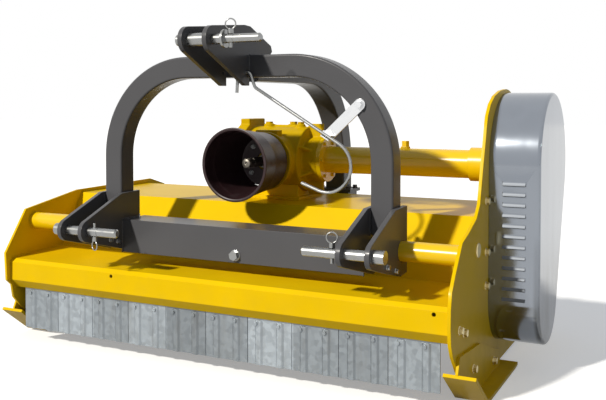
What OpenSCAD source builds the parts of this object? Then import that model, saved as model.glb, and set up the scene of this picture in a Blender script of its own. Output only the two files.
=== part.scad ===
// Tractor-mounted hammer flail mower. A headstock slides sideways on a guide tube, a gearbox and a
// belt drive turn a rotor of swinging hammers, and hinged flaps close the front of the hood.
// X runs along the working width, +Y to the rear and +Z up from the ground.

/* [Hood and side plates] */
// Clear width between the two side plates
inner_w = 1600; // [1400:10:1900]
// Thickness of each side plate
plate_t = 10; // [8:1:12]
// Thickness of the hood sheet
hood_t = 5; // [4:0.5:6]
// Height of the flat deck above the ground
deck_z = 500; // [490:2:520]
// Height of the low front shelf
shelf_z = 300; // [292:2:310]
// Height of the lower edge of the front lip
lip_z = 195; // [188:1:200]
// Distance of the front face ahead of the rotor axis
front_y = 540; // [530:2:560]
// Distance of the deck's rear edge behind the rotor axis
deck_rear = 250; // [240:2:256]

/* [Rotor] */
// Height of the rotor axis
rotor_z = 235; // [230:1:245]
// Radius of the hammers' tips
tip_r = 200; // [180:2:204]
// Diameter of the rotor tube
rotor_d = 127; // [108:1:133]
// Diameter of the rotor's stub shafts
stub_d = 50; // [40:1:56]
// Radius at which the hammers are pinned
pivot_r = 105; // [100:1:110]
// Diameter of the hammer pins
hammer_pin_d = 16; // [12:1:18]
// Cutting width of one hammer
hammer_w = 100; // [80:2:110]
// Distance from one hammer to the next
hammer_pitch = 148; // [130:1:148]

/* [Headstock] */
// Side of the arch's square tube
tube_w = 70; // [60:1:80]
// Overall width of the arch
arch_w = 1050; // [980:5:1100]
// Height of the top of the arch
arch_z = 1001; // [980:1:1040]
// Outer radius of the arch's corners
arch_r = 330; // [280:5:360]
// Distance of the arch's front face ahead of the rotor axis
arch_y = 455; // [450:1:458]
// Offset of the headstock from the middle of the hood
head_x = 82; // [0:1:100]
// Diameter of the guide tube
guide_d = 60; // [50:1:62]
// Height of the guide tube
guide_z = 421; // [418:1:424]
// Height of the box beam
beam_h = 110; // [104:1:116]
// Depth of the box beam, front to rear
beam_d = 118; // [112:1:124]
// Wall of the box beam
beam_wall = 6; // [5:0.5:8]
// Side of the rear strut's square tube
strut_w = 80; // [60:1:84]
// Diameter of the rear rail
rail_d = 50; // [40:1:54]

/* [Hitch points] */
// Thickness of the hitch plates
hitch_t = 15; // [12:1:16]
// Diameter of the lower hitch pins
lower_pin_d = 28; // [22:1:32]
// Diameter of the top hitch pin
top_pin_d = 25; // [19:1:28]
// Distance of the lower pins ahead of the rotor axis
lower_pin_y = 637; // [630:1:650]
// Height of the lower pins
lower_pin_z = 440; // [436:1:450]
// Distance of the top pin ahead of the rotor axis
top_pin_y = 660; // [650:1:670]
// Height of the top pin above the arch's top face
top_pin_rise = 35; // [29:1:45]
// Clear width between the two top plates
top_gap = 69; // [60:1:76]
// Free length of a lower pin inside its plates
lower_free = 116; // [90:1:120]
// Free length of the top pin beside its plates
top_free = 160; // [120:1:170]
// Wire of the linch pins' rings
ring_wire = 4; // [3:0.5:5]
// Diameter of the shaft hook's rod
hook_d = 10; // [8:0.5:11]

/* [Gearbox and drive] */
// Height of the drive shaft axis
drive_z = 645; // [640:1:655]
// Distance of the output axis behind the rotor axis
drive_y = 55; // [45:1:65]
// Radius of the gearbox body
box_r = 118; // [100:1:122]
// Diameter of the output tube
out_d = 96; // [86:1:104]
// Diameter of the half shaft inside the output tube
half_d = 46; // [36:1:50]
// Rim diameter of the shaft guard cone
cone_d = 250; // [220:2:264]
// Length of the shaft guard cone
cone_l = 212; // [180:2:225]
// Wall of the shaft guard cone
cone_t = 4; // [3:0.5:5]
// Depth of the belt guard, along the working width
guard_w = 156; // [150:1:170]
// Sheet thickness of the belt guard
guard_t = 3; // [2:0.5:4]
// Number of louvres in the belt guard
louvres = 12; // [8:1:12]
// Outer radius of the upper pulley
upper_r = 155; // [140:1:165]
// Outer radius of the rotor pulley
lower_r = 105; // [95:1:112]
// Width of one belt
belt_w = 13; // [11:0.5:14]
// Pitch between the belt grooves
groove_pitch = 19; // [18.5:0.5:20]

/* [Flaps, skids and roller] */
// Thickness of the flap sheet
flap_t = 4; // [3:0.5:5]
// Gap between neighbouring flaps
flap_gap = 1.6; // [1:0.1:3]
// Height of the flaps' lower edge
flap_low = 52; // [46:1:70]
// Gap between the outer flaps and the side plates
flap_side = 34; // [20:1:40]
// Diameter of the flap rod
flap_rod_d = 12; // [10:0.5:14]
// Width of a skid's sole
sole_w = 93; // [80:1:100]
// Thickness of a skid's sole
sole_t = 10; // [8:0.5:12]
// Rise of a skid's front
ramp_h = 105; // [90:1:115]
// Radius of the rear roller
roller_r = 75; // [65:1:80]
// Distance of the roller axis behind the rotor axis
roller_y = 420; // [405:1:440]

/* [Clearances] */
// Running clearance on the radius of a turning or sliding fit
run = 0.08; // [0.05:0.01:0.1]
// Gap between a moving piece and its neighbour
gap = 0.3; // [0.3:0.05:0.5]

/* [Hidden] */
$fn = 96;
top_pin_z = arch_z + top_pin_rise;
half_in = inner_w / 2;
half_out = half_in + plate_t;
guard_x = half_out + guard_w;
shaft_room = 10;
bearing_w = 150;
bearing_t = 14;
bearing_l = 44;
bearing_h = 55;
bearing_wall = 25;
skid_x = half_out - 35;
web_t = 8;
mid_x = (guard_x - max(half_out + bearing_h, skid_x + sole_w)) / 2;
nose_top_r = 40;
nose_wall = 22;
y_front = -max(top_pin_y + nose_top_r, lower_pin_y + lower_pin_d / 2 + nose_wall);
y_rear = roller_y + roller_r;
mid_y = (y_front + y_rear) / 2;
// Rear rail, under the deck's rear edge
rail_back = 85;
rail_y = deck_rear + rail_back;
rail_z = deck_z - 45;
// Hood profile, front lip to rear edge, as outer points
lip_back = 26;
shelf_l = 258;
slope_l = 112;
lip_y = -front_y + lip_back;
slope_y0 = -front_y + shelf_l;
slope_y1 = slope_y0 + slope_l;
tail_z = 240;
hood_outer = [
    [lip_y, lip_z],
    [-front_y, lip_z + 30],
    [-front_y, shelf_z - 12],
    [-front_y + 12, shelf_z],
    [slope_y0, shelf_z + 11],
    [slope_y1, deck_z],
    [deck_rear, deck_z],
    [deck_rear + 12, deck_z - 18],
    [deck_rear + 30, tail_z]
];
// Drain holes in the hood's nose, from the left and from the right side plate
drain_d = 12;
drain_drop = 22;
drain_left = 450;
drain_right = 43;
// Rear and lower edge that both side plates share, from the rail down and forward to the toe
plate_low = 14;
toe_y = 350;
plate_back = [
    [rail_y + rail_d / 2 + 14, rail_z + rail_d / 2 + 8],
    [rail_y + rail_d / 2 + 36, rail_z - 20],
    [rail_y + rail_d / 2 + 40, rail_z - 130],
    [roller_y, 250],
    [roller_y - 30, 120],
    [roller_y - 90, 58],
    [roller_y - 120, plate_low],
    [-toe_y, plate_low],
    [-toe_y - 40, plate_low + 20],
    [-toe_y - 130, plate_low + 90]
];
// Guide tube and beam
guide_y = -(arch_y - tube_w / 2);
beam_y0 = -arch_y - 13;
beam_z0 = guide_z - 73;
leg_x = arch_w / 2 - tube_w / 2;
leg_gap = 14;
strut_bend = 300;
foot_t = 12;
plate_in = tube_w / 2;
plate_mid = plate_in + hitch_t / 2;
top_in = top_gap / 2;
// Belt guard outline: two circles joined by tangents
guard_c1 = [drive_y + 15, drive_z + 10];
guard_r1 = guard_c1[0] + 160;
guard_c2 = [-10, rotor_z + 5];
guard_r2 = guard_c2[0] + 162;
guard_rim = 12;
louvre_pitch = 32;
louvre_w = 70;
louvre_edge = 2;
// Drive stack
belts = 4;
groove_depth = 14;
stack_w = belts * groove_pitch;
stack_x = half_out + 38;
shaft_end = stack_x + stack_w + 10;
snout_y = -125;
box_x0 = -130;
box_x1 = 95;
cover_l = 42;
cap_l = 10;
half_x = 60;
input_d = 50;
input_l = 125;
spline_d = 34.9;
spline_w = 8.6;
root_d = 29.6;
tube_x = 152;
flange_l = 16;
flange_d = out_d + 66;
tube_wall = 9;
seat_l = 60;
// Linch pins
linch_d = 10;
ring_r = 15;
linch_tail = 14;
// Flaps
flap_n = 10;
flap_span = inner_w - 2 * flap_side;
flap_pitch = flap_span / flap_n;
flap_y = lip_y + 18;
flap_z = lip_z + 27;
eye_r = flap_rod_d / 2 + 4;
rib_h = 5;
// Hammers
rotor_room = 45;
lug_t = 8;
lug_r = 20;
hammer_n = 10;
hammer_ang = [90, 270, 0, 180, 90, 270, 0, 180, 90, 270];
lug_gap = 46;
eye_wall = 10;
neck_t = 18;
// Roller frame
pivot_y = 150;
pivot_z = 62;
plate_room = 3;
arm_t = 8;
axle_d = 24;
journal_d = 30;
stay_d = 40;
yellow = "#f2b90c";
dark_grey = "#5d5e60";
guard_grey = "#b4b8bc";
zinc = "#c6c9cc";
galv = "#a3aab0";
black = "#1d1a1c";
steel = "#77797c";

function unit(v) = v / norm(v);
function reverse(p) = [for (i = [len(p) - 1 : -1 : 0]) p[i]];
function side_n(a, b) = [(b - a)[1], -(b - a)[0]] / norm(b - a);
function mitre(p, i, t) =
    i == 0 ? p[0] + t * side_n(p[0], p[1])
    : i == len(p) - 1 ? p[i] + t * side_n(p[i - 1], p[i])
    : let (m = side_n(p[i - 1], p[i]), n = side_n(p[i], p[i + 1])) p[i] + t * (m + n) / (1 + m * n);
function sheet(p, t) = concat(p, [for (i = [len(p) - 1 : -1 : 0]) mitre(p, i, t)]);
function tangent(c, r, p, s) =
    let (v = p - c, a = acos(r / norm(v)), b = atan2(v[1], v[0])) c + r * [cos(b + s * a), sin(b + s * a)];

// Moves every piece from the rotor's frame to the frame with its origin under the middle of the machine
module place() {
    translate([-mid_x, -mid_y, 0]) children();
}

// Extrudes a drawing in the Y-Z plane along X, from x0 over a length
module along_x(x0, len) {
    translate([x0, 0, 0]) rotate([90, 0, 90]) linear_extrude(len) children();
}

// Round bar along X
module bar_x(x0, x1, y, z, d) {
    translate([x0, y, z]) rotate([0, 90, 0]) cylinder(h = x1 - x0, d = d);
}

// Round bar along Y
module bar_y(y0, y1, x, z, d) {
    translate([x, y1, z]) rotate([90, 0, 0]) cylinder(h = y1 - y0, d = d);
}

// Hexagonal bolt head with its washer, standing on a face and pointing along +Z
module bolt(af, h) {
    cylinder(h = 2.5, d = af * 1.35);
    translate([0, 0, 2.5]) cylinder(h = h, d = af * 1.1547, $fn = 6);
}

// Outline of two circles and their outer tangents
module capsule(c1, r1, c2, r2) {
    v = c2 - c1;
    a = acos((r1 - r2) / norm(v));
    b = atan2(v[1], v[0]);
    u1 = [cos(b + a), sin(b + a)];
    u2 = [cos(b - a), sin(b - a)];
    translate(c1) circle(r = r1);
    translate(c2) circle(r = r2);
    polygon([c1 + r1 * u1, c2 + r2 * u1, c2, c2 + r2 * u2, c1 + r1 * u2, c1]);
}

// Hood and side plates
module hood() {
    color(yellow) place() difference() {
        along_x(-half_in, inner_w) polygon(sheet(hood_outer, hood_t));
        for (x = [drain_left - half_in, half_in - drain_right])
            bar_y(-front_y - 1, -front_y + hood_t + 1, x, shelf_z - drain_drop, drain_d);
    }
}

module left_side_plate() {
    color(yellow) place() difference() {
        along_x(-half_out, plate_t) polygon(concat(
            [
                [-front_y - 17, lip_z + 30],
                [-front_y - 22, shelf_z + 22],
                [-front_y + 76, guide_z + 46],
                [slope_y1 - 24, deck_z + 12],
                [deck_rear + 22, deck_z + 18]
            ],
            plate_back,
            [[-front_y + 13, lip_z - 35], [-front_y + 5, lip_z + 10]]
        ));
        bar_x(-half_out - 1, -half_in + 1, 0, rotor_z, stub_d + 2 * shaft_room);
        bar_x(-half_out - 1, -half_in + 1, pivot_y, pivot_z, axle_d + 2 * run);
    }
}

module right_side_plate() {
    color(yellow) place() difference() {
        along_x(half_in, plate_t) {
            translate(guard_c1) circle(r = guard_r1 + guard_rim);
            polygon(concat(
                [
                    [guard_c1[0], guard_c1[1] + guard_r1 + guard_rim],
                    [-10, drive_z + 246],
                    [-88, drive_z + 228],
                    [-140, drive_z + 202],
                    [-174, drive_z + 166],
                    [-188, drive_z + 130],
                    [-199, drive_z + 94],
                    [-220, drive_z + 35],
                    [-244, drive_z - 37],
                    [-262, drive_z - 95],
                    [-300, deck_z + 12],
                    [-380, deck_z - 18],
                    [-front_y + 92, guide_z + 42],
                    [-front_y + 24, guide_z - 34],
                    [-front_y - 8, shelf_z + 44],
                    [-front_y - 18, shelf_z],
                    [-front_y - 20, lip_z + 52],
                    [-front_y - 14, lip_z + 5],
                    [-front_y + 6, lip_z - 31]
                ],
                reverse(plate_back),
                [
                    [guard_c1[0] + guard_r1 - 6, drive_z - 60],
                    [guard_c1[0] + guard_r1 - 20, drive_z + 60]
                ]
            ));
        }
        bar_x(half_in - 1, half_out + 1, 0, rotor_z, stub_d + 2 * shaft_room);
        bar_x(half_in - 1, half_out + 1, drive_y, drive_z, half_d + 2 * shaft_room);
        bar_x(half_in - 1, half_out + 1, pivot_y, pivot_z, axle_d + 2 * run);
    }
}

module guide_tube() {
    color(yellow) place() bar_x(-half_in, half_in, guide_y, guide_z, guide_d);
}

module rear_rail() {
    color(zinc) place() bar_x(-half_in, half_in, rail_y, rail_z, rail_d);
}

// Flanged bearings of the rotor, outside the left plate and inside the belt guard
module bearing_housings() {
    color(yellow) place() {
        difference() {
            union() {
                along_x(-half_out - bearing_t, bearing_t) translate([0, rotor_z])
                    square(bearing_w, center = true);
                bar_x(-half_out - bearing_l, -half_out - bearing_t, 0, rotor_z, stub_d + 2 * bearing_wall);
                bar_x(-half_out - bearing_h, -half_out - bearing_l, 0, rotor_z, stub_d + 30);
            }
            bar_x(-half_out - bearing_l, -half_out + 1, 0, rotor_z, stub_d + 2 * run);
        }
        difference() {
            bar_x(half_out, half_out + 12, 0, rotor_z, stub_d + 90);
            bar_x(half_out - 1, half_out + 13, 0, rotor_z, stub_d + 2 * run);
        }
    }
}

// Bolt heads on the outer faces of the side plates, skids and rotor bearing
module side_bolts() {
    color(zinc) place() {
        for (p = [[-192, drive_z - 92], [-192, guide_z - 24], [-192, shelf_z - 6],
            [-front_y + 62, lip_z + 31],
                [-front_y + 106, lip_z + 14]])
            translate([half_out, p[0], p[1]]) rotate([0, 90, 0]) bolt(19, 9);
        for (s = [-1, 1]) for (p = [[-360, 88], [-120, 44]])
            translate([s * (half_out + web_t), p[0], p[1]]) rotate([0, s * 90, 0]) bolt(19, 9);
        bolt_r = bearing_w / 2 + 7;
        for (a = [45 : 90 : 315])
            translate([-half_out - bearing_t, bolt_r * cos(a), rotor_z + bolt_r * sin(a)])
                rotate([0, -90, 0]) bolt(16, 8);
        translate([half_out, -285, guide_z - 4]) rotate([0, 90, 0]) cylinder(h = 4, d = 44);
    }
}

// Skids: a sole with an upturned front and a web on the side plate's outer face
module skid(s) {
    rise = [[2, 3], [-34, 0], [-toe_y - 20, 0], [-toe_y - 46, 9], [-front_y + 22, ramp_h]];
    color(yellow) place() {
        along_x(s > 0 ? skid_x : -skid_x - sole_w, sole_w) polygon(sheet(rise, sole_t));
        along_x(s > 0 ? half_out : -half_out - web_t, web_t) polygon([
            [-34, sole_t / 2], [-34, 60], [-90, 74], [-280, 140], [-front_y + 44, 158],
                [-front_y + 25, ramp_h + 12],
            [-front_y + 27, ramp_h + 3], [-toe_y - 48, 14], [-toe_y - 22, sole_t / 2]
        ]);
    }
}

module skid_left() {
    skid(-1);
}

module skid_right() {
    skid(1);
}

// Flap curtain
module flap_rod() {
    color(steel) place() bar_x(-half_in, half_in, flap_y, flap_z, flap_rod_d);
}

// One pressed flap: a hinge curl round the rod, a sheet with two pressed ribs and two bolt heads
module flap(i) {
    x0 = -flap_span / 2 + i * flap_pitch + flap_gap / 2;
    w = flap_pitch - flap_gap;
    face = flap_y - eye_r;
    rib = [[0, 0], [0.17, 0], [0.21, 1], [0.31, 1], [0.35, 0], [0.65, 0], [0.69, 1], [0.79, 1],
        [0.83, 0], [1, 0]];
    color(galv) place() translate([x0, 0, 0]) {
        difference() {
            union() {
                bar_x(0, w, flap_y, flap_z, 2 * eye_r);
                translate([0, face, flap_z - 36]) cube([w, flap_t, 36]);
                translate([0, 0, flap_low]) linear_extrude(flap_z - 34 - flap_low) polygon(concat(
                    [for (q = rib) [q[0] * w, face - rib_h * q[1]]],
                    [for (k = [len(rib) - 1 : -1 : 0]) [rib[k][0] * w, face + flap_t - rib_h * rib[k][1]]]
                ));
            }
            bar_x(-1, w + 1, flap_y, flap_z, flap_rod_d + 2 * run);
        }
        for (q = [0.2, 0.72]) bar_y(face - rib_h - 4, face + 1, q * w, lip_z - 17, 12);
    }
}

module flap_01() flap(0);
module flap_02() flap(1);
module flap_03() flap(2);
module flap_04() flap(3);
module flap_05() flap(4);
module flap_06() flap(5);
module flap_07() flap(6);
module flap_08() flap(7);
module flap_09() flap(8);
module flap_10() flap(9);

// Rotor with its lugs and hammer pins
function hammer_x(i) = (i - (hammer_n - 1) / 2) * hammer_pitch;

module rotor_tube() {
    end = half_in - rotor_room;
    color(steel) place() {
        bar_x(-end, end, 0, rotor_z, rotor_d);
        bar_x(-half_out - 40, -end, 0, rotor_z, stub_d);
        bar_x(end, shaft_end, 0, rotor_z, stub_d);
        for (s = [-1, 1]) bar_x(s * end - 6, s * end + 6, 0, rotor_z, rotor_d + 30);
        for (i = [0 : hammer_n - 1]) translate([hammer_x(i), 0, rotor_z]) rotate([hammer_ang[i], 0, 0]) {
            for (s = [-1, 1]) translate([s * (lug_gap + lug_t) / 2 + s * gap - lug_t / 2, 0, 0]) {
                translate([0, -lug_r, rotor_d / 2 - 8]) cube([lug_t, 2 * lug_r, pivot_r - rotor_d / 2 + 8]);
                translate([0, 0, pivot_r]) rotate([0, 90, 0]) cylinder(h = lug_t, r = lug_r);
            }
            translate([-lug_gap / 2 - lug_t - 10, 0, pivot_r]) rotate([0, 90, 0])
                cylinder(h = lug_gap + 2 * lug_t + 20, d = hammer_pin_d);
        }
    }
}

// One hammer: an eye between the lugs, a neck and a wide curved cutting edge
module hammer(i) {
    reach = tip_r - pivot_r;
    color(steel) place() translate([hammer_x(i), 0, rotor_z]) rotate([hammer_ang[i], 0, 0])
        translate([0, 0, pivot_r])
        difference() {
            union() {
                rotate([0, 90, 0]) cylinder(h = lug_gap, d = hammer_pin_d + 2 * eye_wall, center = true);
                translate([-lug_gap / 2, -neck_t / 2, 0]) cube([lug_gap, neck_t, 42]);
                along_x(-hammer_w / 2, hammer_w) polygon([
                    [-neck_t / 2, 32], [neck_t / 2, 32], [12, reach - 26], [22, reach - 7],
                        [14, reach - 2], [-7, reach - 6], [-13, reach - 30]
                ]);
            }
            rotate([0, 90, 0]) cylinder(h = lug_gap + 2, d = hammer_pin_d + 2 * run, center = true);
        }
}

module hammer_01() hammer(0);
module hammer_02() hammer(1);
module hammer_03() hammer(2);
module hammer_04() hammer(3);
module hammer_05() hammer(4);
module hammer_06() hammer(5);
module hammer_07() hammer(6);
module hammer_08() hammer(7);
module hammer_09() hammer(8);
module hammer_10() hammer(9);

// Belt drive
// Pulley with four belt grooves, from x0 along X
module pulley(y, z, r, hub) {
    slot = belt_w + 2 * gap;
    edge = (groove_pitch - slot) / 2;
    translate([stack_x, y, z]) rotate([0, 90, 0]) difference() {
        union() {
            cylinder(h = stack_w, r = r);
            translate([0, 0, -8]) cylinder(h = 8, d = hub + 36);
        }
        for (k = [0 : belts - 1]) translate([0, 0, k * groove_pitch + edge]) difference() {
            cylinder(h = slot, r = r + 5);
            translate([0, 0, -1]) cylinder(h = slot + 2, r = r - groove_depth);
        }
        translate([0, 0, -9]) cylinder(h = stack_w + 10, d = hub);
    }
}

module rotor_pulley() {
    color(steel) place() pulley(0, rotor_z, lower_r, stub_d);
}

module upper_pulley() {
    color(steel) place() pulley(drive_y, drive_z, upper_r, half_d);
}

module drive_belts() {
    c1 = [drive_y, drive_z];
    c2 = [0, rotor_z];
    color(black) place() for (k = [0 : belts - 1])
        along_x(stack_x + k * groove_pitch + (groove_pitch - belt_w) / 2, belt_w) difference() {
            capsule(c1, upper_r - 1, c2, lower_r - 1);
            capsule(c1, upper_r - groove_depth + gap, c2, lower_r - groove_depth + gap);
        }
}

module half_shaft() {
    color(steel) place() bar_x(half_x, shaft_end, drive_y, drive_z, half_d);
}

// Wedge of one louvre on the guard's front wall, given by its outline ahead of the wall
module louvre(k, w, outline) {
    along_x(half_out + guard_w / 2 - w / 2, w)
        translate([guard_c2[0] - guard_r2 + 1, drive_z - 46 - louvre_pitch * k]) polygon(outline);
}

// Guard shell, open to the side plate, with louvres pressed in its front wall
module belt_guard() {
    color(guard_grey) place() difference() {
        union() {
            along_x(half_out, guard_w) capsule(guard_c1, guard_r1, guard_c2, guard_r2);
            for (k = [0 : louvres - 1]) louvre(k, louvre_w, [[2, 0], [-7, 0], [-7, 3], [2, 16]]);
        }
        along_x(half_out - 1, guard_w - guard_t + 1)
            capsule(guard_c1, guard_r1 - guard_t, guard_c2, guard_r2 - guard_t);
        for (k = [0 : louvres - 1]) louvre(k, louvre_w - 2 * louvre_edge,
            [[5, -1], [-5, -1], [-5, 2], [5, 13]]);
    }
}

// Gearbox, its pedestal, output tube, input shaft and guard cone
module gearbox_pedestal() {
    color(yellow) place() difference() {
        union() {
            translate([-125, drive_y - 95, deck_z]) cube([220, 190, 12]);
            translate([-110, drive_y - 75, deck_z]) cube([190, 150, 70]);
        }
        bar_x(-140, 110, drive_y, drive_z, 2 * box_r);
    }
}

module gearbox_housing() {
    color(yellow) place() difference() {
        union() {
            bar_x(box_x0, box_x1, drive_y, drive_z, 2 * box_r);
            bar_x(box_x0 - cover_l, box_x0, drive_y, drive_z, 2 * box_r + 40);
            bar_x(box_x0 - cover_l - cap_l, box_x0 - cover_l, drive_y, drive_z, 2 * box_r - 86);
            bar_x(box_x1, tube_x - cap_l, drive_y, drive_z, 2 * box_r - 76);
            bar_x(tube_x - flange_l, tube_x, drive_y, drive_z, flange_d);
            bar_y(snout_y + flange_l, drive_y, 0, drive_z, 2 * box_r - 60);
            bar_y(snout_y, snout_y + flange_l, 0, drive_z, 2 * box_r - 30);
            for (a = [0 : 60 : 300]) rotate_at_drive(a) translate([box_x1, -5, box_r - 40])
                rotate([90, 0, 0])
                linear_extrude(10, center = true) polygon([[-2, -6], [40, -6], [40, 2], [-2, 38]]);
            for (a = [15 : 30 : 345]) rotate_at_drive(a) translate([box_x0 - cover_l + 1, 0, box_r + 8])
                rotate([0, -90, 0])
                cylinder(h = 8, d = 17.3, $fn = 6);
            for (p = [[-74, -10, 26], [12, 22, 22], [62, -16, 20]])
                translate([p[0], drive_y + p[1], drive_z + box_r - 12]) {
                    cylinder(h = 22, d = p[2] + 14);
                    cylinder(h = 30, d = p[2], $fn = 6);
                }
        }
        bar_x(half_x - 1, tube_x + 8, drive_y, drive_z, half_d + 2 * run);
        bar_y(snout_y - 1, -30, 0, drive_z, input_d + 2 * run);
    }
}

module rotate_at_drive(a) {
    translate([0, drive_y, drive_z]) rotate([a, 0, 0]) children();
}

module output_tube() {
    color(yellow) place() difference() {
        union() {
            bar_x(tube_x, half_in, drive_y, drive_z, out_d);
            bar_x(tube_x, tube_x + flange_l, drive_y, drive_z, flange_d);
            bar_x(half_in - 102, half_in, drive_y, drive_z, out_d + 18);
            translate([463, drive_y, drive_z + out_d / 2 - 6]) cylinder(h = 12, d = 34);
            translate([463, drive_y, drive_z + out_d / 2]) cylinder(h = 26, d = 28, $fn = 6);
            for (a = [30 : 60 : 330]) rotate_at_drive(a)
                translate([tube_x + flange_l, 0, out_d / 2 + 19]) rotate([0, 90, 0])
                cylinder(h = 7, d = 15, $fn = 6);
        }
        bar_x(tube_x - 1, half_in - seat_l, drive_y, drive_z, out_d - 2 * tube_wall);
        bar_x(half_in - seat_l - 1, half_in + 1, drive_y, drive_z, half_d + 2 * run);
    }
}

// Six-splined input shaft in its journal
module input_shaft() {
    color(steel) place() translate([0, snout_y, drive_z]) rotate([90, 0, 0]) difference() {
        union() {
            translate([0, 0, -90]) cylinder(h = 90, d = input_d);
            cylinder(h = input_l, d = root_d);
            intersection() {
                translate([0, 0, 20]) cylinder(h = input_l - 20, d = spline_d);
                for (a = [0 : 60 : 120]) rotate(a) translate([-20, -spline_w / 2, 20])
                    cube([40, spline_w, input_l - 20]);
            }
            translate([0, 0, 2]) cylinder(h = 16, d = 42);
        }
        translate([0, 0, 92]) difference() {
            cylinder(h = 7, d = 36);
            translate([0, 0, -1]) cylinder(h = 9, d = root_d - 0.2);
        }
    }
}

// Guard cone round the input shaft, open to the front, with a rolled rim
module shaft_guard_cone() {
    r1 = cone_d / 2;
    r0 = box_r - 26;
    lip = 7;
    rim = 26;
    color(black) place() translate([0, snout_y, drive_z]) rotate([90, 0, 0]) rotate_extrude() polygon([
        [30, 0], [r0, 0], [r0 + 8, 24], [r1 - lip, cone_l - rim], [r1 - lip, cone_l - lip],
            [r1, cone_l - lip], [r1, cone_l],
        [r1 - lip - cone_t, cone_l], [r1 - lip - cone_t, cone_l - rim], [r0 + 8 - cone_t, 24 + cone_t],
            [r0 - cone_t, cone_t],
        [30, cone_t]
    ]);
}

// Headstock
module head() {
    place() translate([head_x, 0, 0]) children();
}

// Bent square tube: two legs, two quarter bends and a straight top
module arch_frame() {
    inner = arch_r - tube_w;
    bend_x = arch_w / 2 - arch_r;
    color(dark_grey) head() translate([0, -arch_y, 0]) {
        for (s = [-1, 1]) translate([s * leg_x - tube_w / 2, 0, guide_z + guide_d / 2 + leg_gap])
            cube([tube_w, tube_w, arch_z - arch_r - guide_z - guide_d / 2 - leg_gap]);
        translate([-bend_x, 0, arch_z - tube_w]) cube([2 * bend_x, tube_w, tube_w]);
        for (s = [0, 1]) mirror([s, 0, 0]) translate([bend_x, tube_w, arch_z - arch_r]) rotate([90, 0, 0])
            rotate_extrude(angle = 90) translate([inner, 0]) square(tube_w);
    }
}

// Folded channel over the guide tube, with a bored bush in each end
module cross_beam() {
    x1 = leg_x - plate_in - hitch_t;
    color(dark_grey) head() difference() {
        union() {
            difference() {
                translate([-x1, beam_y0, beam_z0]) cube([2 * x1, beam_d, beam_h]);
                translate([-x1 - 1, beam_y0 + beam_wall, beam_z0 - 1])
                    cube([2 * x1 + 2, beam_d - 2 * beam_wall, beam_h - beam_wall + 1]);
            }
            for (s = [-1, 1]) translate([s * (x1 - 25) - 25, beam_y0 + beam_wall, beam_z0 + 8])
                cube([50, beam_d - 2 * beam_wall, beam_h - beam_wall - 8]);
        }
        bar_x(-x1 - 1, x1 + 1, guide_y, guide_z, guide_d + 2 * run);
    }
}

// Rear strut: a square tube bent down from the arch to the rear rail
module rear_strut() {
    y1 = rail_y - strut_w / 2;
    inner = strut_bend;
    color(dark_grey) head() translate([-strut_w / 2, 0, 0]) {
        translate([0, tube_w - arch_y, arch_z - strut_w])
            cube([strut_w, y1 - inner - tube_w + arch_y, strut_w]);
        translate([0, y1 - inner, arch_z - strut_w - inner]) rotate([90, 0, 90]) rotate_extrude(angle = 90)
            translate([inner, 0]) square(strut_w);
        translate([0, y1, deck_z + foot_t])
            cube([strut_w, strut_w, arch_z - strut_w - inner - deck_z - foot_t]);
    }
}

// Bored shoe on the rear rail under a bolted foot flange
module strut_foot() {
    color(dark_grey) head() difference() {
        union() {
            translate([-60, rail_y - 44, rail_z - 38]) cube([120, 88, deck_z - rail_z + 38]);
            translate([-72, rail_y - 50, deck_z]) cube([144, 100, foot_t]);
            for (x = [-56, 56]) for (y = [-34, 34]) translate([x, rail_y + y, deck_z + foot_t]) bolt(17, 9);
        }
        bar_x(-61, 61, rail_y, rail_z, rail_d + 2 * run);
    }
}

// Pair of hitch plates on one leg, bored for the lower pin and the guide tube
module hitch_plates(s) {
    nose = [-lower_pin_y, lower_pin_z];
    rn = lower_pin_d / 2 + nose_wall;
    up = [-arch_y - 16, guide_z + 125];
    low = [guide_y - 10, guide_z - 73];
    color(dark_grey) head() translate([s * leg_x, 0, 0]) for (k = [-1, 1]) difference() {
        along_x(k * plate_mid - hitch_t / 2, hitch_t) {
            translate(nose) circle(r = rn);
            polygon([
                [guide_y + 46, guide_z + 128], up, tangent(nose, rn, up, 1), nose,
                tangent(nose, rn, low, -1), low, [guide_y + 46, guide_z - 69]
            ]);
        }
        bar_x(k * plate_mid - hitch_t, k * plate_mid + hitch_t, -lower_pin_y, lower_pin_z,
            lower_pin_d + 2 + 2 * run);
        bar_x(k * plate_mid - hitch_t, k * plate_mid + hitch_t, guide_y, guide_z, guide_d + 2);
    }
}

module hitch_plates_left() {
    hitch_plates(-1);
}

module hitch_plates_right() {
    hitch_plates(1);
}

// Two top link plates standing on the arch, bored for the top pin and the shaft hook
module top_bracket() {
    nose = [-top_pin_y, top_pin_z];
    foot_z = arch_z - tube_w - 26;
    foot = [-arch_y - 22, foot_z];
    crest = [-arch_y - 26, arch_z + 91];
    color(dark_grey) head() for (k = [-1, 1]) difference() {
        along_x(k * (top_in + hitch_t / 2) - hitch_t / 2, hitch_t) {
            translate(nose) circle(r = nose_top_r);
            polygon([
                foot, [-arch_y, foot_z], [-arch_y, arch_z], [-arch_y + 130, arch_z],
                [-arch_y + 148, arch_z + 18], [-arch_y + 140, arch_z + 36], [-arch_y + 8, arch_z + 89],
                    crest,
                tangent(nose, nose_top_r, crest, 1), nose, tangent(nose, nose_top_r, foot, -1)
            ]);
        }
        bar_x(k * (top_in + hitch_t / 2) - hitch_t, k * (top_in + hitch_t / 2) + hitch_t, -top_pin_y,
            top_pin_z,
            top_pin_d + 2 + 2 * run);
        bar_x(k * (top_in + hitch_t / 2) - hitch_t, k * (top_in + hitch_t / 2) + hitch_t, hook_y, hook_z,
            hook_d + 2 * run);
    }
}

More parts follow.
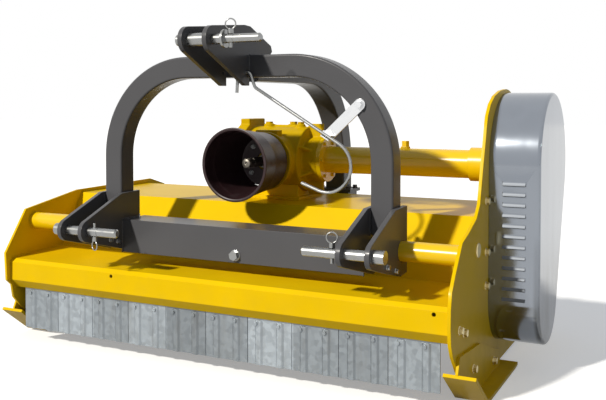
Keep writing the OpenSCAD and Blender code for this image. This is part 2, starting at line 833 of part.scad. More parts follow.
// Lock bolt on the beam's front and small bolts on the hitch plates
module beam_bolts() {
    color(zinc) head() {
        translate([4, beam_y0, beam_z0 + 24]) rotate([90, 0, 0]) bolt(27, 12);
        for (s = [-1, 1]) for (p = [[-50, -49], [-118, -27]])
            translate([s * (leg_x + plate_in + hitch_t), guide_y + p[0], guide_z + p[1]])
                rotate([0, s * 90, 0])
                bolt(13, 6);
    }
}

// Shaft hook and the stay that holds it
hook_y = -arch_y - 17;
hook_z = arch_z - 56;
hook_x = top_in + hitch_t;
hook_r = 78;
hook_bend = 14;
hook_c = [323, drive_z + 19];
hook_a1 = 59.3;
hook_a2 = -110;
hook_dir = [sin(hook_a1), -cos(hook_a1)];
hook_t = hook_c + hook_r * [cos(hook_a1), sin(hook_a1)];
hook_b = hook_t - 330 * hook_dir;
hook_sides = 16;
stay_w = 34;

// A bent rod's stations are [point in the X-Z plane, heading], along its straights and bends
function heading(a, b) = atan2(b[1] - a[1], b[0] - a[0]);
function arc_stations(c, r, a, t, n) =
    [for (k = [0 : n]) let (q = a + t * k / n) [c + r * [cos(q), sin(q)], q + 90 * sign(t)]];
function bend(a, b, c, r, n) =
    let (
        u = unit(b - a), v = unit(c - b),
        t = atan2(u[0] * v[1] - u[1] * v[0], u * v),
        centre = b - r * tan(abs(t) / 2) * u + sign(t) * r * [-u[1], u[0]]
    )
    arc_stations(centre, r, heading(a, b) - 90 * sign(t), t, n);
function ring(q, r, n) = [for (k = [0 : n - 1]) let (a = 360 * k / n)
    [q[0][0] - r * cos(a) * sin(q[1]), q[0][1] + r * cos(a) * cos(q[1]), r * sin(a)]];

// Round rod swept along its stations
module bent_rod(stations, d, n) {
    m = len(stations);
    polyhedron(
        [for (q = stations) each ring(q, d / 2, n)],
        concat(
            [for (i = [0 : m - 2]) for (k = [0 : n - 1])
                [i * n + k, (i + 1) * n + k, (i + 1) * n + (k + 1) % n]],
            [for (i = [0 : m - 2]) for (k = [0 : n - 1])
                [i * n + k, (i + 1) * n + (k + 1) % n, i * n + (k + 1) % n]],
            [for (k = [1 : n - 2]) [0, k, k + 1]],
            [for (k = [1 : n - 2]) [(m - 1) * n, (m - 1) * n + k + 1, (m - 1) * n + k]]
        )
    );
}

module shaft_hook() {
    p = [[top_in - 20, hook_z - 62], [top_in - 16, hook_z], [hook_x + 12, hook_z], hook_b, hook_t];
    end = hook_c + hook_r * [cos(hook_a2), sin(hook_a2)];
    tail = end + 60 * [sin(hook_a2), -cos(hook_a2)];
    color(zinc) head() translate([0, hook_y, 0]) {
        rotate([90, 0, 0]) bent_rod(concat(
            [[p[0], heading(p[0], p[1])]],
            bend(p[0], p[1], p[2], hook_bend, 5),
            bend(p[1], p[2], p[3], hook_bend, 4),
            bend(p[2], p[3], p[4], hook_bend, 3),
            arc_stations(hook_c, hook_r, hook_a1, hook_a2 - hook_a1, 18),
            [[tail, heading(end, tail)]]
        ), hook_d - 0.04, hook_sides);
        bar_x(top_in - 1, hook_x + 1, 0, hook_z, hook_d);
    }
}

// Flat stay bolted to the arch, with a clip that is open to the front round the rod
module hook_stay() {
    grip = hook_t - 46 * hook_dir;
    root = grip + [100, 92];
    v = root - grip;
    ang = atan2(v[1], v[0]);
    clip = atan2(hook_dir[1], hook_dir[0]);
    jaw = hook_d / 2 + gap;
    color(zinc) head() {
        translate([grip[0], -arch_y, grip[1]]) rotate([90, 0, 0]) rotate(ang) {
            translate([0, -stay_w / 2, 0]) cube([norm(v), stay_w, 6]);
            translate([norm(v), 0, 0]) cylinder(h = 6, d = stay_w);
        }
        translate([grip[0], -arch_y, grip[1]]) rotate([90, 0, 0]) rotate(clip) difference() {
            translate([-15, -jaw - 4, 0]) cube([30, 2 * jaw + 8, 17 + hook_d / 2 + 3]);
            translate([-16, -jaw, 17 - jaw]) cube([32, 2 * jaw, 30]);
        }
        translate([root[0], -arch_y - 6, root[1]]) rotate([90, 0, 0]) bolt(19, 10);
    }
}

// Hitch pins and linch pins
// Pin along X with a head, a shank up to x_step, a thinner free end to x_end and a cross hole for its linch pin
module hitch_pin(s, x_head, x_step, x_end, y, z, d, head_d, head_l, x_cross) {
    len = abs(x_end - x_head);
    shank = abs(x_step - x_head);
    translate([x_head, y, z]) rotate([0, s > 0 ? -90 : 90, 0]) difference() {
        union() {
            translate([0, 0, -head_l]) cylinder(h = head_l, d = head_d);
            cylinder(h = shank, d = d + 2);
            cylinder(h = len - 5, d = d);
            translate([0, 0, len - 5]) cylinder(h = 5, d1 = d, d2 = d - 10);
        }
        translate([0, 0, abs(x_cross - x_head)]) rotate([0, 90, 0])
            cylinder(h = d + 6, d = linch_d + 2 * run, center = true);
    }
}

// Linch pin: a shank through the hitch pin, a knob and a wire ring
module linch(x, y, z, d, up) {
    tail = d / 2 + linch_tail;
    translate([x, y, z]) rotate([up > 0 ? 0 : 180, 0, 0]) {
        translate([0, 0, -tail]) cylinder(h = 2 * tail, d = linch_d);
        translate([0, 0, d / 2 + 1 + gap]) cylinder(h = 14, d = linch_d + 7);
        translate([0, 0, tail + ring_r]) rotate([90, 0, 20]) rotate_extrude() translate([ring_r, 0])
            circle(d = ring_wire, $fn = 24);
    }
}

lower_out = leg_x + plate_in + hitch_t;
lower_in = leg_x - plate_in - hitch_t;
lower_linch = 24;
top_linch = 58;

module lower_pin(s) {
    color(zinc) head() hitch_pin(s, s * (lower_out + gap), s * (lower_in - 41), s * (lower_in - lower_free),
        -lower_pin_y, lower_pin_z, lower_pin_d, lower_pin_d + 10, 32, s * (lower_in - lower_linch));
}

module lower_pin_left() {
    lower_pin(-1);
}

module lower_pin_right() {
    lower_pin(1);
}

module top_pin() {
    out = top_in + hitch_t;
    color(zinc) head() {
        hitch_pin(-1, -out - gap, out + top_linch + 12, out + top_free, -top_pin_y, top_pin_z, top_pin_d,
            top_pin_d + 8, 24, out + top_linch);
        bar_x(-top_in + gap, top_in - gap, -top_pin_y, top_pin_z, top_pin_d + 14);
        bar_x(out + gap, out + 36, -top_pin_y, top_pin_z, top_pin_d + 6);
        bar_x(out + 36, out + 43, -top_pin_y, top_pin_z, top_pin_d + 28);
    }
}

module linch_pin_left() {
    color(zinc) head() linch(-lower_in + lower_linch, -lower_pin_y, lower_pin_z, lower_pin_d, -1);
}

module linch_pin_right() {
    color(zinc) head() linch(lower_in - lower_linch, -lower_pin_y, lower_pin_z, lower_pin_d, 1);
}

module linch_pin_top() {
    color(zinc) head() linch(top_in + hitch_t + top_linch, -top_pin_y, top_pin_z, top_pin_d, 1);
}

// Rear roller and its height-set frame
module roller_frame() {
    x0 = half_in - plate_room - arm_t;
    color(yellow) place() {
        for (s = [-1, 1]) {
            difference() {
                along_x(s > 0 ? x0 : -x0 - arm_t, arm_t)
                    capsule([pivot_y, pivot_z], 34, [roller_y, roller_r], 32);
                bar_x(s > 0 ? x0 - 1 : -x0 - arm_t - 1, s > 0 ? x0 + arm_t + 1 : -x0 + 1, roller_y,
                    roller_r,
                    journal_d + 2 * run);
            }
            bar_x(s > 0 ? x0 + arm_t : -half_out - 4, s > 0 ? half_out + 4 : -x0 - arm_t, pivot_y,
                pivot_z, axle_d);
        }
        bar_x(-x0, x0, pivot_y + 128, pivot_z + 6, stay_d);
    }
}

module roller() {
    x0 = half_in - plate_room;
    color(yellow) place() {
        bar_x(-x0 + 20, x0 - 20, roller_y, roller_r, 2 * roller_r);
        bar_x(-x0, x0, roller_y, roller_r, journal_d);
    }
}

hood();
left_side_plate();
right_side_plate();
guide_tube();
rear_rail();
gearbox_pedestal();
gearbox_housing();
output_tube();
shaft_guard_cone();
belt_guard();
drive_belts();
flap_rod();
bearing_housings();
side_bolts();
skid_left();
skid_right();
rotor_tube();
rotor_pulley();
hammer_01();
hammer_02();
hammer_03();
hammer_04();
hammer_05();
hammer_06();
hammer_07();
hammer_08();
hammer_09();
hammer_10();
half_shaft();
upper_pulley();
input_shaft();
arch_frame();
cross_beam();
rear_strut();
strut_foot();
hitch_plates_left();
hitch_plates_right();
top_bracket();
beam_bolts();
hook_stay();
shaft_hook();
lower_pin_left();
lower_pin_right();
top_pin();
linch_pin_left();
linch_pin_right();
linch_pin_top();
flap_01();
flap_02();
flap_03();
flap_04();
flap_05();
flap_06();
flap_07();
flap_08();
flap_09();
flap_10();
roller_frame();
roller();
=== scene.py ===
"""Looks of a tractor-mounted hammer flail mower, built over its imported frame.

The painted, zinc-plated and galvanised finishes are made here, with the forms that a plain solid lacks:
rounded sheet edges, hexagon bolts, grease nipples, weld beads, cast corners and a turned guard cone.
"""

import logging
import math
from collections import defaultdict
from dataclasses import dataclass, field
from enum import Enum
from functools import cache
from typing import Any, Callable, Iterable

import bpy
from mathutils import Matrix, Vector


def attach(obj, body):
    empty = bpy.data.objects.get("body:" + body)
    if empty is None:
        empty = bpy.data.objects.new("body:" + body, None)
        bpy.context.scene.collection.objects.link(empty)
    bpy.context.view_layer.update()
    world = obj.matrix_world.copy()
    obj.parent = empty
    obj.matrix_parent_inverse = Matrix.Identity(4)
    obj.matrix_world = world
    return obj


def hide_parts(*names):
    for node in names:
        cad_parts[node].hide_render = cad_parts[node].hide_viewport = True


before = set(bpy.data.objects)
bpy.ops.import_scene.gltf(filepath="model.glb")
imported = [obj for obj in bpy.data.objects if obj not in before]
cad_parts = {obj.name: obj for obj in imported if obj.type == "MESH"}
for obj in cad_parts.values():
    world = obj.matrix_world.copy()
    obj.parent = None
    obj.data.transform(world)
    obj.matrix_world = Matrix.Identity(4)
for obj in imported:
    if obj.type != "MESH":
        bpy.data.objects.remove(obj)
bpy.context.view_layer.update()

logging.basicConfig(level=logging.INFO, format="%(levelname)s %(message)s")
log = logging.getLogger("mower")

MM = 0.001
# The drive shaft is SHAFT_X mm left of the model's middle, and the rotor's axis ROTOR_Y mm behind it
SHAFT_X = 49
ROTOR_Y = 102.5
# Numbers in the names of the flaps and of the hammers
NUMBERS = [f"{number:02d}" for number in range(1, 11)]

Weigher = Callable[[Vector, Vector, float, bool], float]
Socket = bpy.types.NodeSocket
Tree = bpy.types.NodeTree
Piece = bpy.types.Object
Stops = Iterable[tuple[float, float]]
Pairs = tuple[tuple[float, float], ...]
Triple = tuple[float, float, float]


class Body(Enum):
    """Rigid bodies that the new pieces ride on, apart from the flaps and hammers."""

    CHASSIS = "chassis"
    HEADSTOCK = "headstock"
    INPUT = "input_drive"


class Slot(Enum):
    """Material slots of the record, one kept with each finish."""

    YELLOW = "yellow_paint"
    GREY = "grey_paint"
    GUARD = "guard_paint"
    ZINC = "zinc_plate"
    PLASTIC = "black_plastic"
    GALVANISED = "galvanised_sheet"
    STEEL = "machined_steel"


def linear(code: str) -> tuple[float, float, float, float]:
    """Turns an sRGB hex colour to linear light.

    Args:
        code: The colour as six hexadecimal digits after a hash.

    Returns:
        Red, green, blue and an alpha of one.
    """
    values = [int(code[i : i + 2], 16) / 255 for i in (1, 3, 5)]
    low, high = 0.04045, 2.4
    red, green, blue = (v / 12.92 if v <= low else ((v + 0.055) / 1.055) ** high for v in values)
    return red, green, blue, 1.0


def add_node(tree: Tree, kind: str, inputs: dict | None = None, **settings: Any) -> bpy.types.Node:
    """Adds a shader node with its settings and links.

    Args:
        tree: The node tree of the material.
        kind: The node's type name after the word ShaderNode.
        inputs: Values or sockets by input name or index; a socket is linked.
        settings: Properties of the node.

    Returns:
        The new node.
    """
    node = tree.nodes.new(f"ShaderNode{kind}")
    for name, value in settings.items():
        setattr(node, name, value)
    for key, value in (inputs or {}).items():
        if isinstance(value, Socket):
            tree.links.new(value, node.inputs[key])
        else:
            node.inputs[key].default_value = value
    return node


def set_ramp(node: bpy.types.Node, stops: Stops) -> Socket:
    """Gives a colour ramp its grey stops.

    Args:
        node: The colour ramp node.
        stops: Pairs of position and grey level, in order.

    Returns:
        The ramp's colour output.
    """
    elements = node.color_ramp.elements
    stops = list(stops)
    while len(elements) < len(stops):
        elements.new(0.5)
    for element, (place, level) in zip(elements, stops):
        element.position = place
        element.color = (level, level, level, 1)
    return node.outputs["Color"]


@dataclass(frozen=True)
class Graph:
    """Node tree of one material, with the steps that the finishes share; sizes are in metres."""

    tree: Tree
    where: Socket

    def add(self, kind: str, inputs: dict, output: str | int = 0, **settings: Any) -> Socket:
        """Adds a node and returns one of its outputs."""
        return add_node(self.tree, kind, inputs, **settings).outputs[output]

    def along(self, axis: str) -> Socket:
        """Returns the place along one axis."""
        return self.add("SeparateXYZ", {0: self.where}, axis)

    def stretched(self, height: float) -> Socket:
        """Returns coordinates that draw a pattern out along Z."""
        return self.add("Mapping", {"Vector": self.where, "Scale": (1, 1, height)})

    def noise(self, grain: float, detail: float = 3, where: Socket | None = None) -> Socket:
        """Adds a noise pattern from 0 to 1 whose patches have the grain's size."""
        inputs = {"Vector": self.where if where is None else where, "Scale": 1 / grain, "Detail": detail}
        return self.add("TexNoise", inputs, "Fac")

    def patches(self, grain: float, detail: float, stops: Stops, where: Socket | None = None) -> Socket:
        """Draws a noise pattern out to soft grey patches by stops of position and level."""
        return set_ramp(add_node(self.tree, "ValToRGB", {"Fac": self.noise(grain, detail, where)}), stops)

    def ranged(self, value: Socket, to: tuple[Any, Any] = (0, 1), of: tuple[float, float] = (0, 1)) -> Socket:
        """Maps one range of a value to another, and keeps it between the new ends."""
        inputs = {"Value": value, "From Min": of[0], "From Max": of[1], "To Min": to[0], "To Max": to[1]}
        return self.add("MapRange", inputs, "Result")

    def times(self, first: Socket, second: Socket) -> Socket:
        """Multiplies two values."""
        return self.add("Math", {0: first, 1: second}, operation="MULTIPLY")

    def mix(self, amount: Any, first: Any, second: Any, blend: str = "MIX") -> Socket:
        """Mixes two colours; the amount is the share of the second one."""
        return self.add("Mix", {0: amount, 6: first, 7: second}, 2, data_type="RGBA", blend_type=blend)

    def worn_edge(self, radius: float) -> tuple[Socket, Socket]:
        """Finds the edges of the piece.

        Args:
            radius: Radius of the rounding.

        Returns:
            The rounded normal, and a value that rises from 0 on flats to 1 along edges.
        """
        bevel = self.add("Bevel", {"Radius": radius}, "Normal", samples=6)
        flat = add_node(self.tree, "NewGeometry").outputs["Normal"]
        dot = self.add("VectorMath", {0: bevel, 1: flat}, "Value", operation="DOT_PRODUCT")
        return bevel, self.ranged(dot, of=(0.995, 0.75))

    def chipped(self, colour: Socket, edge: Socket, bare: str, grain: float, start: float) -> Socket:
        """Chips a coat off along its edges, where a noise of the grain's size passes the start."""
        chips = self.patches(grain, 5, [(start, 0.0), (start + 0.1, 1.0)])
        return self.mix(self.times(edge, chips), colour, linear(bare))

    def bump(self, height: Socket, strength: float, distance: float, normal: Socket) -> Socket:
        """Raises a pattern as relief on a normal, with peaks as high as the distance."""
        inputs = {"Height": height, "Strength": strength, "Distance": distance, "Normal": normal}
        return self.add("Bump", inputs)


@dataclass(frozen=True)
class Finish:
    """A finish of one real material; sizes are in metres."""

    name: str
    colour: str
    slot: Slot = Slot.YELLOW

    def layers(self, graph: Graph) -> dict[str, Any]:
        """Returns the shader's inputs by name; each finish has its own."""
        raise NotImplementedError

    @cache
    def build(self) -> bpy.types.Material:
        """Builds the material from its layers, at its first use.

        Returns:
            The finished material.
        """
        material = bpy.data.materials.new(self.name)
        material.use_nodes = True
        tree = material.node_tree
        tree.nodes.clear()
        graph = Graph(tree, add_node(tree, "TexCoord").outputs["Object"])
        shader = graph.add("BsdfPrincipled", self.layers(graph))
        add_node(tree, "OutputMaterial", {"Surface": shader})
        return material


@dataclass(frozen=True)
class SprayedEnamel(Finish):
    """Two-coat enamel sprayed on welded steel: glossy, slightly rippled, thin and dull along cut edges."""

    edge_colour: str = "#8a6a12"
    dust_colour: str = "#8d7b52"
    roughness: float = 0.31
    gloss: float = 0.03
    coat: float = 0.03
    ripple: float = 6 * MM
    ripple_depth: float = 0.08
    edge_radius: float = 1.6 * MM
    dust_top: float = 0.34

    def layers(self, graph: Graph) -> dict[str, Any]:
        """Lays clouds of thicker spray, chips, dust and a fine ripple over the paint.

        Args:
            graph: Where its nodes go.

        Returns:
            The shader's inputs by name.
        """
        bevel, edge = graph.worn_edge(self.edge_radius)
        # Large soft patches where the spray lies thicker
        cloud = graph.patches(180 * MM, 3, [(0.35, 0.93), (0.7, 1.0)])
        colour = graph.mix(1.0, linear(self.colour), cloud, "MULTIPLY")
        # Small chips along the cut edges, where the coat is thin
        colour = graph.chipped(colour, edge, self.edge_colour, 9 * MM, 0.52)
        # Dust gathers low down, in patches
        low = graph.ranged(graph.along("Z"), (0, 0.2), (self.dust_top, 0.02))
        dust = graph.times(low, graph.patches(55 * MM, 6, [(0.4, 0.25), (0.66, 1.0)]))
        colour = graph.mix(dust, colour, linear(self.dust_colour))
        return {
            "Base Color": colour, "Roughness": graph.ranged(dust, (self.roughness, 0.85)),
            "Normal": graph.bump(graph.noise(self.ripple, 2), self.ripple_depth, 1 * MM, bevel),
            "Specular IOR Level": self.gloss, "Coat Weight": self.coat, "Coat Roughness": 0.14,
        }


@dataclass(frozen=True)
class PaintedCasting(SprayedEnamel):
    """Enamel over sand-cast iron: the same paint on a grainy skin."""

    ripple: float = 3.5 * MM
    ripple_depth: float = 0.35
    roughness: float = 0.42
    edge_radius: float = 3 * MM


@dataclass(frozen=True)
class GalvanisedSheet(Finish):
    """Hot-dip galvanised sheet: grey zinc with flat crystals, streaked dull by grass and water."""

    slot: Slot = Slot.GALVANISED
    spangle: float = 14 * MM
    stain_colour: str = "#6b6a66"
    first_edge: float = -0.815
    sheet_width: float = 0.1532
    tones: tuple[float, ...] = (0.8, 0.98, 0.72, 0.9, 0.6, 0.7, 1.0, 0.7, 0.66, 0.8)

    def layers(self, graph: Graph) -> dict[str, Any]:
        """Lays crystals, each sheet's own tone and long streaks over the zinc.

        Args:
            graph: Where its nodes go.

        Returns:
            The shader's inputs by name.
        """
        bevel, _ = graph.worn_edge(1.5 * MM)
        crystals = graph.add("TexVoronoi", {"Vector": graph.where, "Scale": 1 / self.spangle}, "Color")
        grey = graph.add("SeparateColor", {0: crystals}, "Red")
        colour = graph.mix(1.0, linear(self.colour), graph.ranged(grey, (0.82, 1.0)), "MULTIPLY")
        # Each flap is cut from another sheet, so its tone is its own
        last_edge = self.first_edge + self.sheet_width * len(self.tones)
        share = graph.ranged(graph.along("X"), of=(self.first_edge, last_edge))
        ramp = add_node(graph.tree, "ValToRGB", {"Fac": share})
        ramp.color_ramp.interpolation = "CONSTANT"
        tone = set_ramp(ramp, [(i / len(self.tones), level) for i, level in enumerate(self.tones)])
        colour = graph.mix(1.0, colour, tone, "MULTIPLY")
        # Dull streaks run down the sheet
        streaks = graph.patches(26 * MM, 6, [(0.5, 0.0), (0.75, 0.34)], graph.stretched(0.18))
        colour = graph.mix(streaks, colour, linear(self.stain_colour))
        return {
            "Base Color": colour, "Roughness": graph.ranged(grey, (0.38, 0.6)), "Metallic": 0.75,
            "Normal": graph.bump(grey, 0.12, 0.3 * MM, bevel),
        }


@dataclass(frozen=True)
class ZincPlate(Finish):
    """Zinc-plated steel rod and fasteners: bright, faintly yellow or blue, with fine drawn lines."""

    slot: Slot = Slot.ZINC
    roughness: float = 0.26
    tint: str = "#8a8a84"

    def layers(self, graph: Graph) -> dict[str, Any]:
        """Lays duller patches and fine drawn lines over the plating.

        Args:
            graph: Where its nodes go.

        Returns:
            The shader's inputs by name.
        """
        bevel, _ = graph.worn_edge(0.8 * MM)
        patch = graph.noise(18 * MM, 4)
        return {
            "Base Color": graph.mix(patch, linear(self.colour), linear(self.tint)),
            "Roughness": graph.ranged(patch, (self.roughness - 0.08, self.roughness + 0.14)), "Metallic": 1.0,
            "Normal": graph.bump(graph.noise(1.2 * MM, 2), 0.1, 0.1 * MM, bevel),
        }


@dataclass(frozen=True)
class TurnedSteel(Finish):
    """Bare turned or forged steel: darker than zinc, oily, with brown bloom in patches."""

    slot: Slot = Slot.STEEL
    bloom: str = "#5b4331"
    roughness: float = 0.38

    def layers(self, graph: Graph) -> dict[str, Any]:
        """Lays patches of brown bloom over the steel, dull where they lie.

        Args:
            graph: Where its nodes go.

        Returns:
            The shader's inputs by name.
        """
        bevel, _ = graph.worn_edge(1 * MM)
        patch = graph.patches(24 * MM, 7, [(0.5, 0.0), (0.72, 0.6)])
        return {
            "Base Color": graph.mix(patch, linear(self.colour), linear(self.bloom)),
            "Roughness": graph.ranged(patch, (self.roughness, 0.75)), "Metallic": 0.9, "Normal": bevel,
        }


@dataclass(frozen=True)
class MouldedPlastic(Finish):
    """Moulded black polyethylene or rubber: dull satin with a fine pebbled skin and pale scuffs."""

    slot: Slot = Slot.PLASTIC
    scuff: str = "#3f383a"
    roughness: float = 0.42
    grain: float = 1.6 * MM

    def layers(self, graph: Graph) -> dict[str, Any]:
        """Lays pale scuffs and a pebbled skin over the plastic.

        Args:
            graph: Where its nodes go.

        Returns:
            The shader's inputs by name.
        """
        bevel, _ = graph.worn_edge(1.2 * MM)
        marks = graph.patches(30 * MM, 8, [(0.55, 0.0), (0.75, 0.5)])
        return {
            "Base Color": graph.mix(marks, linear(self.colour), linear(self.scuff)), "Roughness": self.roughness,
            "Normal": graph.bump(graph.noise(self.grain, 2), 0.15, 0.2 * MM, bevel), "Specular IOR Level": 0.3,
        }


@dataclass(frozen=True)
class SilverLacquer(Finish):
    """Silver lacquer on pressed sheet: metal flakes under a clear coat, so it mirrors what stands beside it."""

    slot: Slot = Slot.GUARD
    roughness: float = 0.1
    edge_colour: str = "#6f7276"
    # Colour and top height of a painted reflection of dark ground on the outer side
    ground_reflection_colour: str = "#4d4f50"
    ground_reflection_top: float = 0.46
    outer_side: float = 0.905
    louvre_front: float = -0.061
    # Darker colour of the louvres, painted shade
    louvre_shade_colour: str = "#595d63"

    def layers(self, graph: Graph) -> dict[str, Any]:
        """Lays handling marks, chips, duller louvres painted darker as painted shade, and a painted reflection of
        dark ground over the lacquer.

        Args:
            graph: Where its nodes go.

        Returns:
            The shader's inputs by name.
        """
        bevel, edge = graph.worn_edge(2 * MM)
        # Rain streaks and handling marks lie on the lacquer in tall soft patches
        tall = graph.stretched(0.3)
        marks = graph.patches(90 * MM, 5, [(0.3, 0.9), (0.7, 1.0)], tall)
        colour = graph.mix(1.0, linear(self.colour), marks, "MULTIPLY")
        colour = graph.chipped(colour, edge, self.edge_colour, 7 * MM, 0.5)
        rough = graph.ranged(marks, (0.15, self.roughness), (0.9, 1))
        # The press leaves the louvres duller than the flat sheet, so they catch the sun without a flash; their
        # darker colour is painted shade
        louvre = graph.add("Math", {0: graph.along("Y"), 1: self.louvre_front}, operation="LESS_THAN")
        rough = graph.ranged(louvre, (rough, 0.5))
        colour = graph.mix(louvre, colour, linear(self.louvre_shade_colour))
        # Painted reflection: a darker grey low down on the outer side, with a cloudy upper edge, stands in for dark
        # ground mirrored there
        low = graph.ranged(graph.along("Z"), (0, 0.95), (self.ground_reflection_top, 0.2))
        outer = graph.ranged(graph.along("X"), of=(self.outer_side - 10 * MM, self.outer_side))
        cloud = graph.patches(60 * MM, 4, [(0.36, 0.5), (0.6, 1.0)], tall)
        painted_reflection = graph.times(graph.times(low, outer), cloud)
        return {
            "Base Color": graph.mix(painted_reflection, colour, linear(self.ground_reflection_colour)), "Roughness": rough, "Metallic": 0.88,
            "Normal": graph.bump(graph.noise(0.8 * MM, 2), 0.04, 0.1 * MM, bevel),
        }


@dataclass
class Paintbox:
    """All finishes of the machine."""

    yellow: Finish = SprayedEnamel("yellow_sprayed_enamel", "#dfb804")
    tube: Finish = SprayedEnamel("yellow_enamel_on_drawn_tube", "#dfb804", roughness=0.27, gloss=0.34, coat=0.1)
    casting: Finish = PaintedCasting("yellow_painted_casting", "#c3a004")
    grey: Finish = SprayedEnamel(
        "dark_grey_sprayed_enamel", "#4f4f52", Slot.GREY, gloss=0.16, coat=0.05, edge_colour="#8b8b8c",
        dust_colour="#6d6a60", dust_top=0.1
    )
    guard: Finish = SilverLacquer("silver_lacquered_guard_sheet", "#8f959e")
    galvanised: Finish = GalvanisedSheet("galvanised_flap_sheet", "#a1a9b0")
    zinc: Finish = ZincPlate("zinc_plated_steel", "#999b9f")
    bright: Finish = ZincPlate("bright_zinc_plated_flat_bar", "#dfe1e4", tint="#c9cacb")
    passivated: Finish = ZincPlate("yellow_passivated_zinc_bolts", "#e9dcae", tint="#c4b380", roughness=0.36)
    steel: Finish = TurnedSteel("turned_steel", "#6f6a62")
    forged: Finish = TurnedSteel("forged_hammer_steel", "#4f4f52", roughness=0.5)
    plastic: Finish = MouldedPlastic("moulded_black_plastic", "#2b1b1d", roughness=0.37)
    rubber: Finish = MouldedPlastic("black_belt_rubber", "#151516", roughness=0.7)


def select_only(thing: Piece) -> None:
    """Makes one object the only selected and active one.

    Args:
        thing: The object.
    """
    for other in bpy.context.selected_objects:
        other.select_set(False)
    thing.select_set(True)
    bpy.context.view_layer.objects.active = thing


def millimetres(*points: tuple[float, float]) -> list[tuple[float, float]]:
    """Turns the radii and heights of a profile from millimetres to metres."""
    return [(radius * MM, height * MM) for radius, height in points]


def spot(x: float, y: float, z: float) -> Vector:
    """Turns millimetres right of the drive shaft, behind the rotor axis and above ground to the model's metres."""
    return Vector(((x - SHAFT_X) * MM, (y + ROTOR_Y) * MM, z * MM))


def facing(point: Iterable[float], direction: Iterable[float], turn: float = 0) -> Matrix:
    """Places what stands at a point in metres, points along a direction and is turned by degrees round it."""
    spin = Matrix.Rotation(math.radians(turn), 4, "Z")
    return Matrix.Translation(Vector(point)) @ Vector(direction).to_track_quat("Z", "Y").to_matrix().to_4x4() @ spin


